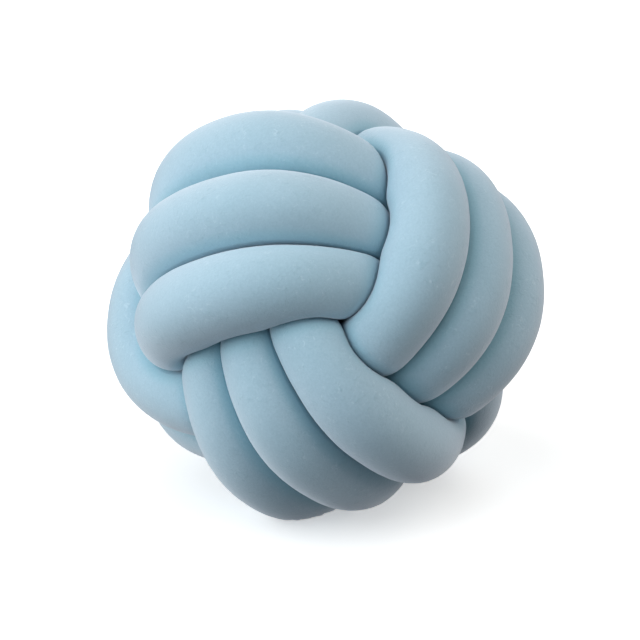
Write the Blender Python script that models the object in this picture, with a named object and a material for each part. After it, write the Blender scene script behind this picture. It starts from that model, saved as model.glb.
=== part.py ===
"""Round knotted cushion: one stuffed velour tube, tied into a ball of three crossing bands.

Each band has three turns, side by side. It passes over one neighbour and under the other, so every band
shows on two opposite faces of the ball. The tube is one closed piece: it starts in the middle of the
ball, lays the three bands one after the other, and ends in the middle.

Metres, +Z up. The ball rests on its pressed spot at Z = 0, and its box is centred on the origin in X and Y.
"""

import math
from collections import namedtuple

import bmesh
import bpy
import numpy as np
from mathutils import Euler

MM = 0.001

# The stuffed tube
TUBE_RADIUS = 24.9 * MM
TUBE_COLOUR = "#9dbfcf"
TUBE_ROUGHNESS = 0.9
TIP_FLAT = 0.2  # how much of each rounded end's radius is flat
SEAM_GAP = 1.5 * MM  # from the tube's wall to the plane where it meets a neighbour
CONTACT_SHARPNESS = 16  # a higher value gives flatter contacts with tighter corners
MOST_SWELL = 1.05  # how far a squeezed stretch bulges where it is free
SWELL_ROUNDS = 4

# One turn, seen along the stack of its band: a rounded oblong, longer where it shows on the ball's faces
MIDDLE_REACH = 113.3 * MM
MIDDLE_HALF_WIDTH = 73.3 * MM
MIDDLE_SQUARENESS = 2.66
SIDE_REACH = 106.5 * MM
SIDE_HALF_WIDTH = 73.5 * MM
SIDE_SQUARENESS = 2.37

# How far the side turns lie from the middle one, on the face and inside, where the neighbours squeeze them
FACE_PITCH = 46.0 * MM
INNER_PITCH = 29.4 * MM
BOW = 1.73

# The knot's own frame: axis numbers for a band's long way, short way and stack, the end of its long way
# that faces the viewer, the inner side where its turns shift over, and how far its turns lean along the
# stack for each metre of the short way
Band = namedtuple("Band", "name long short stack near_end shift_side lean")
BANDS = (
    Band("first", 2, 0, 1, 1, math.radians(90), -0.063),
    Band("second", 0, 1, 2, -1, math.radians(270), -0.003),
    Band("third", 1, 2, 0, 1, math.radians(270), 0.008),
)

# A hand-tied knot is a little uneven. Each turn's offsets, in mm: how far its near end and its far end
# lift along the long way, how far it slips along the short way and shifts along the stack, and how far its
# near end tilts and bends along the stack. The far end slips and shifts the other way, by the share below
Turn = namedtuple("Turn", "band place lift far_lift slip shift tilt bend")
TURNS = (
    Turn("first", -1, 1.6, -0.9, -5.4, -2.3, 0.1, -2.7),
    Turn("first", 0, 2.8, 0.6, -1.7, 0.1, -0.9, -0.8),
    Turn("first", 1, -0.5, -0.6, 3.0, -0.2, 0.7, 0.7),
    Turn("second", -1, -1.8, -0.1, -0.4, 0.1, -1.8, 0.9),
    Turn("second", 0, 0.9, 2.8, 0.0, 0.8, -0.6, 0.9),
    Turn("second", 1, -1.5, 4.6, 1.8, 0.7, 2.8, -2.1),
    Turn("third", -1, 0.1, 3.2, -0.1, -0.5, 1.5, -1.8),
    Turn("third", 0, -1.9, 1.2, -1.1, 0.1, -0.8, -0.3),
    Turn("third", 1, 0.4, 0.4, -6.5, -2.1, -0.2, -0.8),
)
FAR_SHARE = -0.4
TURNS_PER_BAND = 3
SHIFT_SPREAD = math.radians(40)  # on each side of the inner side's middle
END_SPREAD = math.radians(35)  # where the first turn starts and the last one ends
ANGLE_STEP = math.radians(3)

# Hidden stretches in the middle of the ball, which join the bands, as points in mm in the knot's frame
Hidden = namedtuple("Hidden", "name points")
HIDDEN = (
    Hidden("start", ((12, -12, 14), (26, -28, -8))),
    Hidden("first to second", ((24, 29, 10), (10, -24, -29))),
    Hidden("second to third", ((-10, -24, 29), (-29, 10, -24))),
    Hidden("end", ((28, -8, -26), (12, 14, -12))),
)
EASE_ROUNDS = 120
EASE_SPACING = 46 * MM
EASE_PUSH = 0.25
EASE_BEND = 0.45

# How the ball lies: the knot's frame turned about X, Y and Z, and how deep its weight presses it flat
LIE = Euler((math.radians(-44.5), math.radians(26.5), math.radians(156.1)), "XYZ")
REST_PRESS = 8.5 * MM

# How finely the tube is cut
PATH_STEP = 4.7 * MM
SMOOTH_ROUNDS = 6
RING_EVERY = 3
TUBE_BEVEL_RESOLUTION = 5
TUBE_SIDES = 2 * TUBE_BEVEL_RESOLUTION + 4
OWN_REACH = 110 * MM  # a stretch isn't pressed by its own next 110 mm
TINY = 1e-6  # stands in for zero under a division, and welds the caps to the wall


def linear_colour(code):
    """A linear RGBA colour from an sRGB hex code."""
    values = [int(code[i : i + 2], 16) / 255 for i in (1, 3, 5)]
    return [v / 12.92 if v <= 0.04045 else ((v + 0.055) / 1.055) ** 2.4 for v in values] + [1.0]


def smooth_step(x):
    x = np.clip(x, 0, 1)
    return x * x * (3 - 2 * x)


def band_points(band, place, angle):
    """Points on a band's centre line. place is -1, 0 or 1 on a turn, and in between where the tube shifts."""
    aside = np.abs(place)
    reach = MIDDLE_REACH + aside * (SIDE_REACH - MIDDLE_REACH)
    half_width = MIDDLE_HALF_WIDTH + aside * (SIDE_HALF_WIDTH - MIDDLE_HALF_WIDTH)
    power = MIDDLE_SQUARENESS + aside * (SIDE_SQUARENESS - MIDDLE_SQUARENESS)
    along, across = np.cos(angle), np.sin(angle)
    radius = (np.abs(along / reach) ** power + np.abs(across / half_width) ** power) ** (-1 / power)
    sideways = radius * across / half_width
    pitch = INNER_PITCH + (FACE_PITCH - INNER_PITCH) * np.abs(radius * along / reach) ** BOW
    turns = [turn for turn in TURNS if turn.band == band.name]
    lift, far_lift, slip, shift, tilt, bend = (
        MM * np.interp(place, [turn.place for turn in turns], [getattr(turn, way) for turn in turns])
        for way in ("lift", "far_lift", "slip", "shift", "tilt", "bend")
    )
    near = (1 + band.near_end * along) / 2
    far = 1 - near
    both = near + FAR_SHARE * far
    points = np.empty((len(angle), 3))
    points[:, band.long] = radius * along + near * lift + far * far_lift
    points[:, band.short] = radius * across + both * slip
    points[:, band.stack] = place * pitch + both * shift + band.lean * radius * across
    points[:, band.stack] += near * (tilt * sideways + bend * (1 - 2 * sideways**2))
    return points


def band_path(band):
    """The whole band: three turns, which move over by one place each time they pass the shift side."""
    round_trip = 2 * math.pi
    angle = np.arange(END_SPREAD, TURNS_PER_BAND * round_trip - END_SPREAD, ANGLE_STEP)
    place = np.full(len(angle), -1.0)
    for number in range(1, TURNS_PER_BAND):
        start = number * round_trip - SHIFT_SPREAD
        place += smooth_step((angle - start) / (2 * SHIFT_SPREAD))
    return band_points(band, place, angle + band.shift_side)


def resample(values, at, count):
    """Rows of values, read at count even steps along at."""
    steps = np.linspace(at[0], at[-1], count)
    return np.column_stack([np.interp(steps, at, column) for column in values.T])


def distance_along(points):
    return np.concatenate([[0], np.cumsum(np.linalg.norm(np.diff(points, axis=0), axis=1))])


def ease(points, free):
    """Spreads the hidden stretches out, so that they share the middle of the ball and bend gently."""
    last = len(points) - 1
    order = np.arange(len(points)) * PATH_STEP
    moving = np.flatnonzero(free > 0)
    apart = np.abs(order[moving, None] - order[None]) > OWN_REACH
    inner = ((moving > 0) & (moving < last))[:, None]
    for _ in range(EASE_ROUNDS):
        away = points[moving, None] - points[None]
        distance = np.linalg.norm(away, axis=2) + TINY
        close = apart & (distance < EASE_SPACING)
        push = np.where(close, EASE_SPACING / distance - 1, 0)
        spread = (away * push[:, :, None]).sum(axis=1) / np.maximum(close.sum(axis=1), 1)[:, None]
        before, after = points[np.maximum(moving - 1, 0)], points[np.minimum(moving + 1, last)]
        bend = np.where(inner, before + after - 2 * points[moving], 0)
        points[moving] += free[moving, None] * (EASE_PUSH * spread + EASE_BEND * bend)
    return points


def tube_path():
    """The tube's centre line from end to end, in the knot's frame, a point every PATH_STEP."""
    hidden = [np.array(stretch.points) * MM for stretch in HIDDEN]
    bands = [band_path(band) for band in BANDS]
    stretches = [hidden[0], bands[0], hidden[1], bands[1], hidden[2], bands[2], hidden[3]]
    free = [np.full((len(part), 1), number % 2 == 0, float) for number, part in enumerate(stretches)]
    rows = np.hstack([np.concatenate(stretches), np.concatenate(free)])
    along = distance_along(rows[:, :3])
    rows = resample(rows, along, int(along[-1] / PATH_STEP))
    points = ease(rows[:, :3], rows[:, 3])
    for _ in range(SMOOTH_ROUNDS):
        points[1:-1] = (points[:-2] + 2 * points[1:-1] + points[2:]) / 4
    along = distance_along(points)
    return resample(points, along, int(along[-1] / PATH_STEP))


def lie_down(path):
    """The path turned as the ball lies, low enough for the surface at Z = 0 to press it."""
    turned = path @ np.array(LIE.to_matrix()).T
    turned[:, 2] -= turned[:, 2].min() - TUBE_RADIUS + REST_PRESS
    return turned


def end_taper(centres):
    """The radius of each ring as a share of the tube's, rounded off at both closed ends."""
    along = distance_along(centres)
    from_end = np.minimum(along, along[-1] - along) / TUBE_RADIUS
    closeness = np.clip(1 - TIP_FLAT - from_end, 0, 1)
    return np.sqrt(1 - closeness**2)


def tube_mesh(centres, taper):
    """A plain round tube along the centres, as a mesh with one ring of points for each centre."""
    curve = bpy.data.curves.new("tube_curve", "CURVE")
    curve.dimensions = "3D"
    curve.bevel_depth = TUBE_RADIUS
    curve.bevel_resolution = TUBE_BEVEL_RESOLUTION
    curve.use_fill_caps = True
    spline = curve.splines.new("POLY")
    spline.points.add(len(centres) - 1)
    for point, place, share in zip(spline.points, centres, taper):
        point.co = (*place, 1)
        point.radius = share
    holder = bpy.data.objects.new("tube_curve", curve)
    bpy.context.scene.collection.objects.link(holder)
    graph = bpy.context.evaluated_depsgraph_get()
    mesh = bpy.data.meshes.new_from_object(holder.evaluated_get(graph))
    bpy.data.objects.remove(holder)
    bpy.data.curves.remove(curve)
    return mesh


def neighbour_limit(ring, directions, path):
    """How far from its centre the tube can reach each way, before it meets the tube's other stretches."""
    nearest = np.linalg.norm(path - ring, axis=1).argmin()
    order = np.arange(len(path))
    others = path[np.abs(order - nearest) * PATH_STEP > OWN_REACH] - ring
    halfway = (others**2).sum(axis=1) / 2
    towards = np.maximum(directions @ others.T, TINY)
    return (halfway / towards).min(axis=1) - SEAM_GAP


def press_tube(mesh, centres, taper, path):
    """Moves each ring's points in or out, as its neighbours and the surface below press on the tube."""
    points = np.empty(len(mesh.vertices) * 3, np.float32)
    mesh.vertices.foreach_get("co", points)
    points = points.reshape(-1, 3).astype(float)
    # The swept curve's mesh holds the points of its two end caps first, and then those of the rings
    caps, wall = np.split(points, [len(points) - TUBE_SIDES * len(centres)])
    arms = wall.reshape(len(centres), TUBE_SIDES, 3) - centres[:, None]
    arms /= np.linalg.norm(arms, axis=2, keepdims=True)
    limit = np.array([neighbour_limit(centre, arm, path) for centre, arm in zip(centres, arms)])
    swell = np.full((len(centres), 1), TUBE_RADIUS)
    for _ in range(SWELL_ROUNDS):
        reach = (swell**-CONTACT_SHARPNESS + limit**-CONTACT_SHARPNESS) ** (-1 / CONTACT_SHARPNESS)
        full = TUBE_RADIUS / np.sqrt((reach**2).mean(axis=1, keepdims=True))
        swell = np.clip(swell * full, TUBE_RADIUS, MOST_SWELL * TUBE_RADIUS)
    reach *= taper[:, None]
    to_surface = centres[:, None, 2] / np.maximum(-arms[:, :, 2], TINY)
    resting = reach >= to_surface
    pressed = centres[:, None] + arms * np.minimum(reach, to_surface)[:, :, None]
    pressed[resting, 2] = 0
    pressed = pressed.reshape(-1, 3)
    for cap in caps:
        cap[:] = pressed[np.linalg.norm(wall - cap, axis=1).argmin()]
    points = np.concatenate([caps, pressed])
    points[:, :2] -= (points.min(axis=0) + points.max(axis=0))[:2] / 2
    mesh.vertices.foreach_set("co", points.astype(np.float32).ravel())


def velour():
    material = bpy.data.materials.new("pale_blue_velour")
    material.use_nodes = True
    shader = material.node_tree.nodes["Principled BSDF"]
    shader.inputs["Base Color"].default_value = linear_colour(TUBE_COLOUR)
    shader.inputs["Roughness"].default_value = TUBE_ROUGHNESS
    shader.inputs["Metallic"].default_value = 0.0
    return material


def knotted_tube(collection):
    path = lie_down(tube_path())
    centres = path[::RING_EVERY]
    taper = end_taper(centres)
    mesh = tube_mesh(centres, taper)
    press_tube(mesh, centres, taper, path)
    shell = bmesh.new()
    shell.from_mesh(mesh)
    bmesh.ops.remove_doubles(shell, verts=shell.verts, dist=TINY)
    bmesh.ops.recalc_face_normals(shell, faces=shell.faces)
    shell.to_mesh(mesh)
    shell.free()
    mesh.name = "knotted_tube"
    mesh.materials.append(velour())
    mesh.shade_smooth()
    tube = bpy.data.objects.new("knotted_tube", mesh)
    collection.objects.link(tube)
    return tube


def main():
    for thing in list(bpy.data.objects):
        bpy.data.objects.remove(thing)
    collection = bpy.data.collections.new("round_knotted_cushion")
    bpy.context.scene.collection.children.link(collection)
    knotted_tube(collection)


main()
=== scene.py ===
"""A round knotted cushion: one stuffed tube of pale blue velour, tied into a ball of three crossing bands.

The tube's centre line follows the knot's own sizes. Geometry Nodes sweep the cloth tube along it, and each
of its rings is then pressed by the stretches round it and by the surface below, as soft stuffing is.
Metres, +Z up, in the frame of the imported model.
"""

import math
from collections import namedtuple

import bpy
import numpy as np
from mathutils import Euler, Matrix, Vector, noise


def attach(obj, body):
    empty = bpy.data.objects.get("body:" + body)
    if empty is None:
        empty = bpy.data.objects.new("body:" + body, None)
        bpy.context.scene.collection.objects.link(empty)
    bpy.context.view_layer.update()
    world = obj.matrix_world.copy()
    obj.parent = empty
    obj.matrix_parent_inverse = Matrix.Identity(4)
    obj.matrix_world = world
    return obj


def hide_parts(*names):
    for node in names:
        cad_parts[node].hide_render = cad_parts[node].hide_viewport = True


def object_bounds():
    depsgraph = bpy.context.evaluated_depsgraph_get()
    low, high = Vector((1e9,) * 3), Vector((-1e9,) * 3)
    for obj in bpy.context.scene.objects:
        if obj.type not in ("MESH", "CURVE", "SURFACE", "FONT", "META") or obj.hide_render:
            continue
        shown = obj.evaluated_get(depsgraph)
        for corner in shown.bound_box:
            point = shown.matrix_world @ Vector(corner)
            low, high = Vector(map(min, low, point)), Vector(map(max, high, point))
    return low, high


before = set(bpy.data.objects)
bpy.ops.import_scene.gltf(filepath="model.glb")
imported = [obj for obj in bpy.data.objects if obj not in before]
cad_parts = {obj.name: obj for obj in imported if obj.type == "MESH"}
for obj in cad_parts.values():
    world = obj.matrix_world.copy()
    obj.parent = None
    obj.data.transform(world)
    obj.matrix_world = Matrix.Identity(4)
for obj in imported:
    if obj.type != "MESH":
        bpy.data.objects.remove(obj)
CAD_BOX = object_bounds()

MM = 0.001

# The stuffed tube
TUBE_RADIUS = 24.9 * MM
SEAM_GAP = 0.25 * MM  # from the velour to the plane where it meets a neighbour
CONTACT_SHARPNESS = 14  # a higher value gives flatter contacts with tighter corners
MOST_SWELL = 1.06  # how far a squeezed stretch bulges where it is free
SWELL_ROUNDS = 4
SOFTEN_ROUNDS = 3
TIP_FLAT = 0.2  # how much of each rounded end's radius is flat
LUMPS = ((55 * MM, 0.45 * MM), (19 * MM, 0.16 * MM))  # the filling's unevenness: width and height
PAINTED_SHADE_WIDTH = 14 * MM  # how far from its neighbour the painted crease shade still deepens the colour

# One turn, seen along the stack of its band: a rounded oblong, longer where it shows on the ball's faces
MIDDLE_REACH = 113.3 * MM
MIDDLE_HALF_WIDTH = 73.3 * MM
MIDDLE_SQUARENESS = 2.66
SIDE_REACH = 106.5 * MM
SIDE_HALF_WIDTH = 73.5 * MM
SIDE_SQUARENESS = 2.37

# How far the side turns lie from the middle one, on the face and inside, where the neighbours squeeze them
FACE_PITCH = 46.0 * MM
INNER_PITCH = 29.4 * MM
BOW = 1.73

# The knot's own frame: axis numbers for a band's long way, short way and stack, the end of its long way
# that faces the viewer, the inner side where its turns shift over, and how far its turns lean along the
# stack for each metre of the short way
Band = namedtuple("Band", "name long short stack near_end shift_side lean")
BANDS = (
    Band("first", 2, 0, 1, 1, math.radians(90), -0.063),
    Band("second", 0, 1, 2, -1, math.radians(270), -0.003),
    Band("third", 1, 2, 0, 1, math.radians(270), 0.008),
)

# A hand-tied knot is a little uneven. Each turn's offsets, in mm: how far its near end and its far end
# lift along the long way, how far it slips along the short way and shifts along the stack, and how far its
# near end tilts and bends along the stack. The far end slips and shifts the other way, by the share below
Turn = namedtuple("Turn", "band place lift far_lift slip shift tilt bend")
TURNS = (
    Turn("first", -1, 1.6, -0.9, -5.4, -2.3, 0.1, -2.7),
    Turn("first", 0, 2.8, 0.6, -1.7, 0.1, -0.9, -0.8),
    Turn("first", 1, -0.5, -0.6, 3.0, -0.2, 0.7, 0.7),
    Turn("second", -1, -1.8, -0.1, -0.4, 0.1, -1.8, 0.9),
    Turn("second", 0, 0.9, 2.8, 0.0, 0.8, -0.6, 0.9),
    Turn("second", 1, -1.5, 4.6, 1.8, 0.7, 2.8, -2.1),
    Turn("third", -1, 0.1, 3.2, -0.1, -0.5, 1.5, -1.8),
    Turn("third", 0, -1.9, 3.4, -1.1, 0.1, -0.8, -0.3),
    Turn("third", 1, 0.4, 0.4, -6.5, -2.1, -0.2, -0.8),
)
FAR_SHARE = -0.4
SHOULDER = 12 * MM  # how far the second band's first turn stands out at its upper end
KNOB_DRAW = 3.4 * MM  # how far the third band's first turn is drawn in at its far end, the top knob
TURNS_PER_BAND = 3
SHIFT_SPREAD = math.radians(40)  # on each side of the inner side's middle
END_SPREAD = math.radians(35)  # where the first turn starts and the last one ends
ANGLE_STEP = math.radians(3)

# Hidden stretches in the middle of the ball, which join the bands, as points in mm in the knot's frame
Hidden = namedtuple("Hidden", "name points")
HIDDEN = (
    Hidden("start", ((12, -12, 14), (26, -28, -8))),
    Hidden("first to second", ((24, 29, 10), (10, -24, -29))),
    Hidden("second to third", ((-10, -24, 29), (-29, 10, -24))),
    Hidden("end", ((28, -8, -26), (12, 14, -12))),
)
EASE_ROUNDS = 120
EASE_SPACING = 46 * MM
EASE_PUSH = 0.25
EASE_BEND = 0.45

# How the ball lies: the knot's frame turned about X, Y and Z, and how deep its weight presses it flat
LIE = Euler((math.radians(-44.5), math.radians(26.5), math.radians(156.1)), "XYZ")
REST_PRESS = 8.5 * MM

# How finely the tube is laid out, and how finely the cloth follows it
LAYOUT_STEP = 4.7 * MM
CLOTH_STEP = 3.5 * MM
CLOTH_SIDES = 56
SMOOTH_ROUNDS = 6
OWN_REACH = 110 * MM  # a stretch isn't pressed by its own next 110 mm
TINY = 1e-6  # stands in for zero under a division

# The velour's colour, and its patterns: how wide each one's shapes are, how fine, rough and warped they
# are, and the values between which it comes in. Each is as wide as it is on the real cloth, apart from the
# grain: the pile's own fibres, about 0.3 mm apart, are too fine to show, so it is drawn coarser
VELOUR_COLOUR = "#a3c3d2"
Pattern = namedtuple("Pattern", "name width detail roughness warp low high")
PATTERNS = (
    Pattern("lay", 70 * MM, 2, 0.5, 0.4, 0.35, 0.65),  # which way the pile lies
    Pattern("handling", 38 * MM, 1, 0.5, 0.0, 0.42, 0.58),  # where it was handled more
    Pattern("touch", 6 * MM, 3, 0.65, 0.8, 0.55, 0.7),  # where a fingertip pressed it
    Pattern("stroke", 4 * MM, 2, 0.6, 1.4, 0.61, 0.69),  # where it was rubbed up
    Pattern("grain", 1.4 * MM, 2, 0.7, 0.0, 0.35, 0.7),
)
LEAST_HANDLED = 0.4  # how strong the marks are where it was handled less
PAINTED_LINE_START = 0.95  # how close to a neighbour a point must lie before the dark painted shade of the crease line begins

# What each pattern brings in over the ones before it: its colour, and the most of it
Tint = namedtuple("Tint", "pattern colour most")
TINTS = (
    Tint("lay", "#a9c7d6", 1.0),
    Tint("touch", "#8ab0c0", 0.28),
    Tint("stroke", "#c3dae5", 0.5),
    Tint("grain", "#7aa2b3", 0.24),
    # Painted shade: a deeper, darker blue where the tube lies close to a neighbour, in the creases
    Tint("painted_crease_shade", "#7cb9c7", 0.48),
    # Painted shade: a dark teal line right where the tube meets a neighbour
    Tint("painted_crease_line", "#2a8097", 0.6),
)
GRAIN_BUMP, GRAIN_DEPTH = 0.35, 0.5 * MM
TOUCH_BUMP, TOUCH_DEPTH = 0.2, 1.0 * MM

# The photograph's view
PHOTO_SIZE = 640
PHOTO_MIDDLE = (323.7, 304.5)  # where the knot's middle shows
VIEW_ELEVATION = math.radians(20)
VIEW_DISTANCE = 1.302
LENS = 112.6  # mm, as is the sensor
SENSOR = 36.0

# The soft lamps: the side that each stands on, in degrees round from the viewer towards the right, how
# many degrees up, its strength and its faint tint
Lamp = namedtuple("Lamp", "name side height strength tint")
LAMPS = (
    Lamp("upper left", -65, 48, 0.49, "#f1f9ff"),
    Lamp("lower left", -92, 12, 0.53, "#fffaf4"),
    Lamp("front left", -40, 11, 0.35, "#eef7ff"),
    Lamp("upper right", 80, 50, 0.51, "#fffbf5"),
    Lamp("right rim", 125, -12, 0.36, "#fff6f6"),
    Lamp("behind", 175, 12, 0.3, "#f4faff"),
)
LAMP_SPREAD = math.radians(70)

# The room: how bright it is to the cushion, above and below the horizon, and to the camera
GLOW_ABOVE = 0.03
GLOW_BELOW = 0.04
GLOW_BEHIND = 1.0
HORIZON_BLUR = 0.1

# The paper that the cushion lies on
PAPER_HALF_WIDTH = 6.0
PAPER_GLOW = 0.4


def linear(code):
    """A linear RGBA colour from an sRGB hex code."""
    values = [int(code[i : i + 2], 16) / 255 for i in (1, 3, 5)]
    return [v / 12.92 if v <= 0.04045 else ((v + 0.055) / 1.055) ** 2.4 for v in values] + [1.0]


def add(tree, kind, settings=None, inputs=None):
    """Adds a node. Each input is a plain value, or the output socket that feeds it."""
    node = tree.nodes.new(kind)
    for name, value in (settings or {}).items():
        setattr(node, name, value)
    for name, value in (inputs or {}).items():
        socket = node.inputs[name]
        if isinstance(value, bpy.types.NodeSocket):
            tree.links.new(value, socket)
        else:
            socket.default_value = value
    return node


# The knot's centre line


def smooth_step(x):
    x = np.clip(x, 0, 1)
    return x * x * (3 - 2 * x)


def band_points(band, place, angle):
    """Points on a band's centre line. place is -1, 0 or 1 on a turn, and in between as the tube shifts."""
    aside = np.abs(place)
    reach = MIDDLE_REACH + aside * (SIDE_REACH - MIDDLE_REACH)
    half_width = MIDDLE_HALF_WIDTH + aside * (SIDE_HALF_WIDTH - MIDDLE_HALF_WIDTH)
    power = MIDDLE_SQUARENESS + aside * (SIDE_SQUARENESS - MIDDLE_SQUARENESS)
    along, across = np.cos(angle), np.sin(angle)
    radius = (np.abs(along / reach) ** power + np.abs(across / half_width) ** power) ** (-1 / power)
    sideways = radius * across / half_width
    pitch = INNER_PITCH + (FACE_PITCH - INNER_PITCH) * np.abs(radius * along / reach) ** BOW
    turns = [turn for turn in TURNS if turn.band == band.name]
    lift, far_lift, slip, shift, tilt, bend = (
        MM * np.interp(place, [turn.place for turn in turns], [getattr(turn, way) for turn in turns])
        for way in ("lift", "far_lift", "slip", "shift", "tilt", "bend")
    )
    near = (1 + band.near_end * along) / 2
    far = 1 - near
    both = near + FAR_SHARE * far
    points = np.empty((len(angle), 3))
    points[:, band.long] = radius * along + near * lift + far * far_lift
    points[:, band.short] = radius * across + both * slip
    points[:, band.stack] = place * pitch + both * shift + band.lean * radius * across
    points[:, band.stack] += near * (tilt * sideways + bend * (1 - 2 * sideways**2))
    first_turn = np.maximum(-place, 0)
    if band.name == "second":
        points[:, band.long] -= SHOULDER * near * first_turn * np.maximum(-sideways, 0) ** 2
    if band.name == "third":
        drawn_in = KNOB_DRAW * far * first_turn
        points[:, band.stack] += drawn_in
        points[:, band.long] += drawn_in * (1 - 2 * sideways)
    return points


def band_path(band):
    """The whole band: three turns, which move over by one place each time they pass the shift side."""
    round_trip = 2 * math.pi
    angle = np.arange(END_SPREAD, TURNS_PER_BAND * round_trip - END_SPREAD, ANGLE_STEP)
    place = np.full(len(angle), -1.0)
    for number in range(1, TURNS_PER_BAND):
        start = number * round_trip - SHIFT_SPREAD
        place += smooth_step((angle - start) / (2 * SHIFT_SPREAD))
    return band_points(band, place, angle + band.shift_side)


def distance_along(points):
    return np.concatenate([[0], np.cumsum(np.linalg.norm(np.diff(points, axis=0), axis=1))])


def resample(values, at, step):
    """Rows of values, read at even steps along at."""
    steps = np.linspace(at[0], at[-1], int((at[-1] - at[0]) / step))
    return np.column_stack([np.interp(steps, at, column) for column in values.T])


def ease(points, free):
    """Spreads the hidden stretches out, so that they share the middle of the ball and bend gently."""
    last = len(points) - 1
    order = np.arange(len(points)) * LAYOUT_STEP
    moving = np.flatnonzero(free > 0)
    apart = np.abs(order[moving, None] - order[None]) > OWN_REACH
    inner = ((moving > 0) & (moving < last))[:, None]
    for _ in range(EASE_ROUNDS):
        away = points[moving, None] - points[None]
        distance = np.linalg.norm(away, axis=2) + TINY
        close = apart & (distance < EASE_SPACING)
        push = np.where(close, EASE_SPACING / distance - 1, 0)
        spread = (away * push[:, :, None]).sum(axis=1) / np.maximum(close.sum(axis=1), 1)[:, None]
        before, after = points[np.maximum(moving - 1, 0)], points[np.minimum(moving + 1, last)]
        bend = np.where(inner, before + after - 2 * points[moving], 0)
        points[moving] += free[moving, None] * (EASE_PUSH * spread + EASE_BEND * bend)
    return points


def tube_path():
    """The tube's centre line from end to end, in the knot's frame."""
    hidden = [np.array(stretch.points) * MM for stretch in HIDDEN]
    bands = [band_path(band) for band in BANDS]
    stretches = [hidden[0], bands[0], hidden[1], bands[1], hidden[2], bands[2], hidden[3]]
    free = [np.full((len(part), 1), number % 2 == 0, float) for number, part in enumerate(stretches)]
    rows = np.hstack([np.concatenate(stretches), np.concatenate(free)])
    rows = resample(rows, distance_along(rows[:, :3]), LAYOUT_STEP)
    points = ease(rows[:, :3], rows[:, 3])
    for _ in range(SMOOTH_ROUNDS):
        points[1:-1] = (points[:-2] + 2 * points[1:-1] + points[2:]) / 4
    return points


def lie_down(path):
    """The path turned as the ball lies, low enough to be pressed, and where that puts the knot's middle."""
    turned = path @ np.array(LIE.to_matrix()).T
    lower = np.array([0, 0, turned[:, 2].min() - TUBE_RADIUS + REST_PRESS])
    return turned - lower, -lower


# The velour tube


def end_taper(centres):
    """The radius of each ring as a share of the tube's, rounded off at both closed ends."""
    along = distance_along(centres)
    from_end = np.minimum(along, along[-1] - along) / TUBE_RADIUS
    closeness = np.clip(1 - TIP_FLAT - from_end, 0, 1)
    return np.sqrt(1 - closeness**2)


def sweep_tree():
    """A Geometry Nodes tree that sweeps a round tube along a chain of points, one ring to a point."""
    tree = bpy.data.node_groups.new("sweep_tube", "GeometryNodeTree")
    face = tree.interface
    face.new_socket("Chain", in_out="INPUT", socket_type="NodeSocketGeometry")
    face.new_socket("Tube Radius", in_out="INPUT", socket_type="NodeSocketFloat")
    face.new_socket("Sides", in_out="INPUT", socket_type="NodeSocketInt")
    face.new_socket("Cloth", in_out="INPUT", socket_type="NodeSocketMaterial")
    face.new_socket("Tube", in_out="OUTPUT", socket_type="NodeSocketGeometry")
    given = add(tree, "NodeGroupInput").outputs
    line = add(tree, "GeometryNodeMeshToCurve", inputs={"Mesh": given["Chain"]})
    girth = add(tree, "GeometryNodeInputNamedAttribute", {"data_type": "FLOAT"}, {"Name": "girth"})
    line = add(
        tree,
        "GeometryNodeSetCurveRadius",
        inputs={"Curve": line.outputs[0], "Radius": girth.outputs["Attribute"]},
    )
    circle = add(
        tree,
        "GeometryNodeCurvePrimitiveCircle",
        inputs={"Resolution": given["Sides"], "Radius": given["Tube Radius"]},
    )
    number = add(tree, "GeometryNodeInputIndex").outputs[0]
    side = add(
        tree,
        "GeometryNodeStoreNamedAttribute",
        {"data_type": "INT", "domain": "POINT"},
        {"Geometry": circle.outputs[0], "Name": "side", "Value": number},
    )
    tube = add(
        tree,
        "GeometryNodeCurveToMesh",
        inputs={"Curve": line.outputs[0], "Profile Curve": side.outputs[0], "Fill Caps": True},
    )
    smooth = add(tree, "GeometryNodeSetShadeSmooth", inputs={"Geometry": tube.outputs[0]})
    real = add(tree, "GeometryNodeRealizeInstances", inputs={"Geometry": smooth.outputs[0]})
    dressed = add(
        tree,
        "GeometryNodeSetMaterial",
        inputs={"Geometry": real.outputs[0], "Material": given["Cloth"]},
    )
    add(tree, "NodeGroupOutput", inputs={"Tube": dressed.outputs[0]})
    return tree


def sweep_tube(centres, taper, cloth):
    """The plain round tube, as a mesh whose points know their ring and their side."""
    count = len(centres)
    chain = bpy.data.meshes.new("chain")
    chain.from_pydata(centres.tolist(), [(i, i + 1) for i in range(count - 1)], [])
    chain.attributes.new("girth", "FLOAT", "POINT").data.foreach_set("value", taper)
    chain.attributes.new("ring", "INT", "POINT").data.foreach_set("value", np.arange(count))
    holder = bpy.data.objects.new("chain", chain)
    bpy.context.scene.collection.objects.link(holder)
    tree = sweep_tree()
    modifier = holder.modifiers.new("sweep", "NODES")
    modifier.node_group = tree
    settings = {"Tube Radius": TUBE_RADIUS, "Sides": CLOTH_SIDES, "Cloth": cloth}
    for item in tree.interface.items_tree:
        if item.name in settings:
            modifier[item.identifier] = settings[item.name]
    graph = bpy.context.evaluated_depsgraph_get()
    mesh = bpy.data.meshes.new_from_object(holder.evaluated_get(graph))
    holder.modifiers.remove(modifier)
    bpy.data.objects.remove(holder)
    bpy.data.meshes.remove(chain)
    bpy.data.node_groups.remove(tree)
    return mesh


def read_points(mesh):
    values = np.empty(len(mesh.vertices) * 3, np.float32)
    mesh.vertices.foreach_get("co", values)
    return values.reshape(-1, 3).astype(float)


def read_attribute(mesh, name):
    values = np.empty(len(mesh.vertices), np.int32)
    mesh.attributes[name].data.foreach_get("value", values)
    return values


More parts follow.
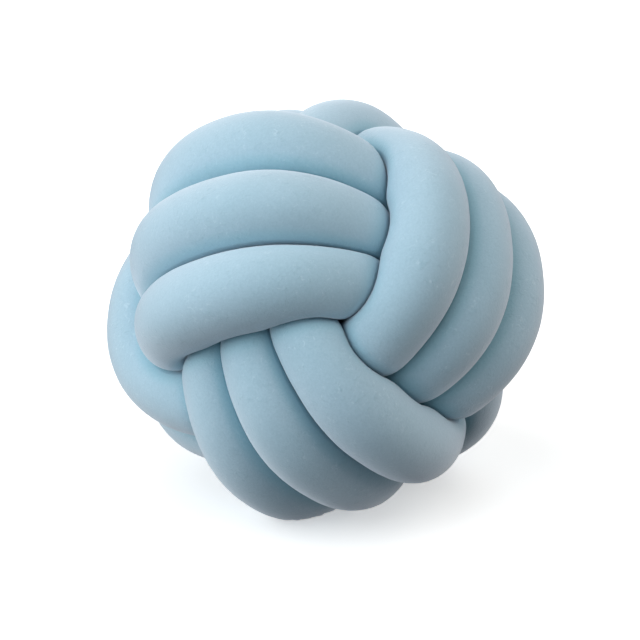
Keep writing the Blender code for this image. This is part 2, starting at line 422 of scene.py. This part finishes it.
def neighbour_limit(ring, directions, path):
    """How far from its centre the tube can reach each way, before it meets the tube's other stretches."""
    order = np.arange(len(path))
    others = path[np.abs(order - ring) * CLOTH_STEP > OWN_REACH] - path[ring]
    halfway = (others**2).sum(axis=1) / 2
    towards = np.maximum(directions @ others.T, TINY)
    return (halfway / towards).min(axis=1) - SEAM_GAP


def soften(reach):
    """Evens the pressed tube out a little, round each ring and along the tube."""
    for _ in range(SOFTEN_ROUNDS):
        reach = (np.roll(reach, 1, axis=1) + 2 * reach + np.roll(reach, -1, axis=1)) / 4
        reach[1:-1] = (reach[:-2] + 2 * reach[1:-1] + reach[2:]) / 4
    return reach


def lumps(points):
    """How far the uneven filling lifts or sinks the cloth at each point."""
    flat = points.reshape(-1, 3)
    height = np.zeros(len(flat))
    for width, most in LUMPS:
        height += [most * noise.noise(Vector(point / width)) for point in flat]
    return height.reshape(points.shape[:-1])


def press_tube(mesh, centres, taper):
    """Where each point goes as its neighbours and the surface below press on the tube.

    The attribute it stores on the mesh keeps how close each point lies to a neighbour, from 0 to 1: the
    mask of the velour's painted crease shade.
    """
    ring, side = read_attribute(mesh, "ring"), read_attribute(mesh, "side")
    plain = np.empty((len(centres), CLOTH_SIDES, 3))
    plain[ring, side] = read_points(mesh)
    arms = plain - centres[:, None]
    arms /= np.linalg.norm(arms, axis=2, keepdims=True)
    limit = np.array([neighbour_limit(number, arm, centres) for number, arm in enumerate(arms)])
    swell = np.full((len(centres), 1), TUBE_RADIUS)
    for _ in range(SWELL_ROUNDS):
        reach = (swell**-CONTACT_SHARPNESS + limit**-CONTACT_SHARPNESS) ** (-1 / CONTACT_SHARPNESS)
        full = TUBE_RADIUS / np.sqrt((reach**2).mean(axis=1, keepdims=True))
        swell = np.clip(swell * full, TUBE_RADIUS, MOST_SWELL * TUBE_RADIUS)
    reach = np.minimum(soften(reach) + lumps(plain), limit) * taper[:, None]
    to_surface = centres[:, None, 2] / np.maximum(-arms[:, :, 2], TINY)
    resting = reach >= to_surface
    pressed = centres[:, None] + arms * np.minimum(reach, to_surface)[:, :, None]
    pressed[resting, 2] = 0
    # How close each point lies to a neighbour: the mask of the painted crease shade in the velour
    painted_crease_shade = 1 - smooth_step((limit - reach) / PAINTED_SHADE_WIDTH)
    mesh.attributes.new("painted_crease_shade", "FLOAT", "POINT").data.foreach_set("value", painted_crease_shade[ring, side])
    return pressed[ring, side]


def knotted_tube(cloth):
    """The dressed tube, and where the knot's middle is."""
    layout, middle = lie_down(tube_path())
    centres = resample(layout, distance_along(layout), CLOTH_STEP)
    taper = end_taper(centres)
    mesh = sweep_tube(centres, taper, cloth)
    pressed = press_tube(mesh, centres, taper)
    cad_middle = (np.array(CAD_BOX[0]) + np.array(CAD_BOX[1])) / 2
    over = cad_middle - (pressed.min(axis=0) + pressed.max(axis=0)) / 2
    over[2] = 0
    mesh.vertices.foreach_set("co", (pressed + over).astype(np.float32).ravel())
    mesh.update()
    mesh.name = "velour_tube"
    tube = bpy.data.objects.new("velour_tube", mesh)
    bpy.context.scene.collection.objects.link(tube)
    return tube, Vector(middle + over)


# Finishes


def velour():
    """Short-pile polyester velour, knitted, sheared and brushed: soft and matt, with a pale bloom at its
    edges.
    Where it is tucked in against a neighbour, painted crease shade makes its blue deeper and darker.

    The pile lies a little differently where it was touched, which shows as faint lighter and darker marks.
    """
    material = bpy.data.materials.new("brushed_velour")
    material.use_nodes = True
    tree = material.node_tree
    shader = tree.nodes["Principled BSDF"]
    place = add(tree, "ShaderNodeTexCoord").outputs["Object"]

    noises, shown = {}, {}
    for pattern in PATTERNS:
        settings = {
            "Vector": place,
            "Scale": 1 / pattern.width,
            "Detail": pattern.detail,
            "Roughness": pattern.roughness,
            "Distortion": pattern.warp,
        }
        cloud = add(tree, "ShaderNodeTexNoise", inputs=settings).outputs["Fac"]
        limits = {"Value": cloud, "From Min": pattern.low, "From Max": pattern.high}
        noises[pattern.name] = cloud
        shown[pattern.name] = add(tree, "ShaderNodeMapRange", inputs=limits).outputs["Result"]
    limits = {"Value": shown["handling"], "To Min": LEAST_HANDLED}
    handled = add(tree, "ShaderNodeMapRange", inputs=limits).outputs["Result"]
    for mark in ("touch", "stroke"):
        factors = {0: shown[mark], 1: handled}
        shown[mark] = add(tree, "ShaderNodeMath", {"operation": "MULTIPLY"}, factors).outputs["Value"]
    # Painted shade in the creases: a deeper blue wherever a point lies close to a neighbour
    shown["painted_crease_shade"] = add(tree, "ShaderNodeAttribute", {"attribute_name": "painted_crease_shade"}).outputs["Fac"]
    # Painted shade: the dark line right at each contact between stretches
    limits = {"Value": shown["painted_crease_shade"], "From Min": PAINTED_LINE_START}
    shown["painted_crease_line"] = add(tree, "ShaderNodeMapRange", inputs=limits).outputs["Result"]

    colour = linear(VELOUR_COLOUR)
    for tint in TINTS:
        factors = {0: shown[tint.pattern], 1: tint.most}
        share = add(tree, "ShaderNodeMath", {"operation": "MULTIPLY"}, factors).outputs["Value"]
        mixed = {"Fac": share, "Color1": colour, "Color2": linear(tint.colour)}
        colour = add(tree, "ShaderNodeMixRGB", inputs=mixed).outputs["Color"]
    tree.links.new(colour, shader.inputs["Base Color"])

    relief = {"Strength": GRAIN_BUMP, "Distance": GRAIN_DEPTH, "Height": noises["grain"]}
    fine = add(tree, "ShaderNodeBump", inputs=relief).outputs["Normal"]
    relief = {"Strength": TOUCH_BUMP, "Distance": TOUCH_DEPTH, "Height": shown["touch"], "Normal": fine}
    soft = add(tree, "ShaderNodeBump", inputs=relief).outputs["Normal"]
    tree.links.new(soft, shader.inputs["Normal"])

    # Nearly all of its light is scattered, and the sheen is the bloom of the pile's tips, seen edge on
    shader.inputs["Roughness"].default_value = 0.92
    shader.inputs["IOR"].default_value = 1.5
    shader.inputs["Specular IOR Level"].default_value = 0.25
    shader.inputs["Sheen Weight"].default_value = 1.0
    shader.inputs["Sheen Roughness"].default_value = 0.6
    shader.inputs["Sheen Tint"].default_value = linear("#e9eef7")
    return material


def matt_white():
    """Matt studio paper: white and plain. A faint glow of its own keeps it white where it is shaded."""
    material = bpy.data.materials.new("studio_paper")
    material.use_nodes = True
    shader = material.node_tree.nodes["Principled BSDF"]
    shader.inputs["Base Color"].default_value = linear("#f7f7f7")
    shader.inputs["Roughness"].default_value = 1.0
    shader.inputs["Emission Color"].default_value = linear("#ffffff")
    shader.inputs["Emission Strength"].default_value = PAPER_GLOW
    shader.inputs["Specular IOR Level"].default_value = 0.1
    return material


# The studio


def floor():
    half = PAPER_HALF_WIDTH
    mesh = bpy.data.meshes.new("paper_floor")
    corners = [(-half, -half, 0), (half, -half, 0), (half, half, 0), (-half, half, 0)]
    mesh.from_pydata(corners, [], [(0, 1, 2, 3)])
    mesh.materials.append(matt_white())
    paper = bpy.data.objects.new("paper_floor", mesh)
    bpy.context.scene.collection.objects.link(paper)
    # The low lamps reach under the cushion, in place of the light that white paper throws up. So this paper
    # doesn't block them, and throws no light on the cushion itself
    paper.visible_diffuse = False
    paper.visible_shadow = False


def aim(thing, at):
    thing.rotation_euler = (at - thing.location).to_track_quat("-Z", "Y").to_euler()


def camera(middle):
    """The photograph's view: the knot's middle shows at PHOTO_MIDDLE."""
    data = bpy.data.cameras.new("camera")
    data.lens = LENS
    data.sensor_width = SENSOR
    viewer = bpy.data.objects.new("camera", data)
    bpy.context.scene.collection.objects.link(viewer)
    bpy.context.scene.camera = viewer
    back = Vector((0, -math.cos(VIEW_ELEVATION), math.sin(VIEW_ELEVATION)))
    up = Vector((0, math.sin(VIEW_ELEVATION), math.cos(VIEW_ELEVATION)))
    viewer.location = middle + VIEW_DISTANCE * back
    pixel = VIEW_DISTANCE * SENSOR / LENS / PHOTO_SIZE
    right = pixel * (PHOTO_SIZE / 2 - PHOTO_MIDDLE[0])
    above = pixel * (PHOTO_MIDDLE[1] - PHOTO_SIZE / 2)
    aim(viewer, middle + Vector((right, 0, 0)) + above * up)


def soft_lamp(lamp):
    """A wide, even softbox, far enough away to light the paper evenly too."""
    data = bpy.data.lights.new(lamp.name, "SUN")
    data.energy = math.pi * lamp.strength
    data.color = linear(lamp.tint)[:3]
    data.angle = LAMP_SPREAD
    holder = bpy.data.objects.new(lamp.name, data)
    bpy.context.scene.collection.objects.link(holder)
    side, height = math.radians(lamp.side), math.radians(lamp.height)
    level = math.cos(height)
    holder.location = Vector((math.sin(side) * level, -math.cos(side) * level, math.sin(height)))
    aim(holder, Vector())


def surroundings():
    """The room: white where the camera sees it, and almost dark to the cushion, which the lamps light."""
    world = bpy.data.worlds.new("studio")
    bpy.context.scene.world = world
    world.use_nodes = True
    tree = world.node_tree
    way = add(tree, "ShaderNodeTexCoord").outputs["Generated"]
    height = add(tree, "ShaderNodeSeparateXYZ", inputs={"Vector": way}).outputs["Z"]
    limits = {
        "Value": height,
        "From Min": -HORIZON_BLUR,
        "From Max": HORIZON_BLUR,
        "To Min": GLOW_BELOW,
        "To Max": GLOW_ABOVE,
    }
    glow = add(tree, "ShaderNodeMapRange", {"interpolation_type": "SMOOTHSTEP"}, limits).outputs["Result"]
    direct = add(tree, "ShaderNodeLightPath").outputs["Is Camera Ray"]
    limits = {"Value": direct, "To Min": glow, "To Max": GLOW_BEHIND}
    backdrop = add(tree, "ShaderNodeMapRange", inputs=limits).outputs["Result"]
    tree.links.new(backdrop, tree.nodes["Background"].inputs["Strength"])
    tree.nodes["Background"].inputs["Color"].default_value = linear("#ffffff")


def studio():
    bpy.context.scene.view_settings.view_transform = "Standard"
    surroundings()
    for lamp in LAMPS:
        soft_lamp(lamp)


tube, knot_middle = knotted_tube(velour())
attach(tube, "root")
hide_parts("knotted_tube")
floor()
camera(knot_middle)
studio()
